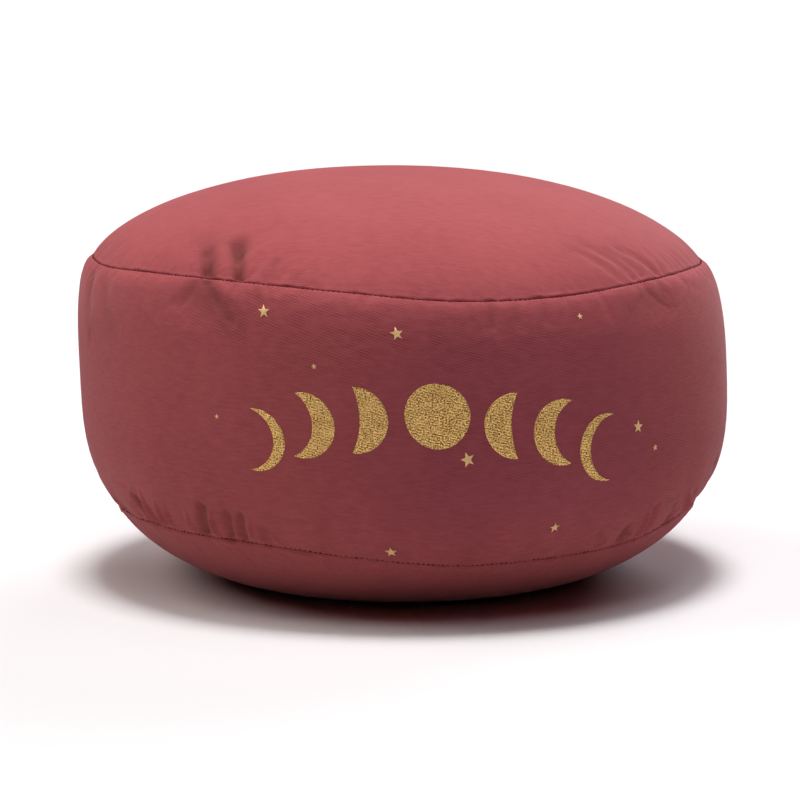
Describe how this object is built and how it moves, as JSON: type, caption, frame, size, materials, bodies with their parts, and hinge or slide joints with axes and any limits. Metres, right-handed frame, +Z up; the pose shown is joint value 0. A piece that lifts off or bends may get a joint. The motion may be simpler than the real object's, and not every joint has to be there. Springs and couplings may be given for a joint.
{
  "type": "zafu meditation cushion",
  "caption": "Round, firmly filled floor cushion with a crowned top, a bulging side band and a flat resting base, sewn from two round panels and a band.",
  "frame": {"origin": "on the floor, at the middle of the flat patch that the cushion rests on", "axes": "+Z up along the cushion's height, -Y towards the printed front of the band, +X to the right of someone who faces that front"},
  "size_m": [0.3309, 0.33, 0.2052],
  "materials": {
    "rose_twill": "matte brushed cotton twill, dusky rose, with a gold foil print of moon phases and stars on the band's front"
  },
  "bodies": {
    "root": {"filled_band": "rose_twill", "top_panel": "rose_twill", "bottom_panel": "rose_twill"}
  },
  "joints": []
}
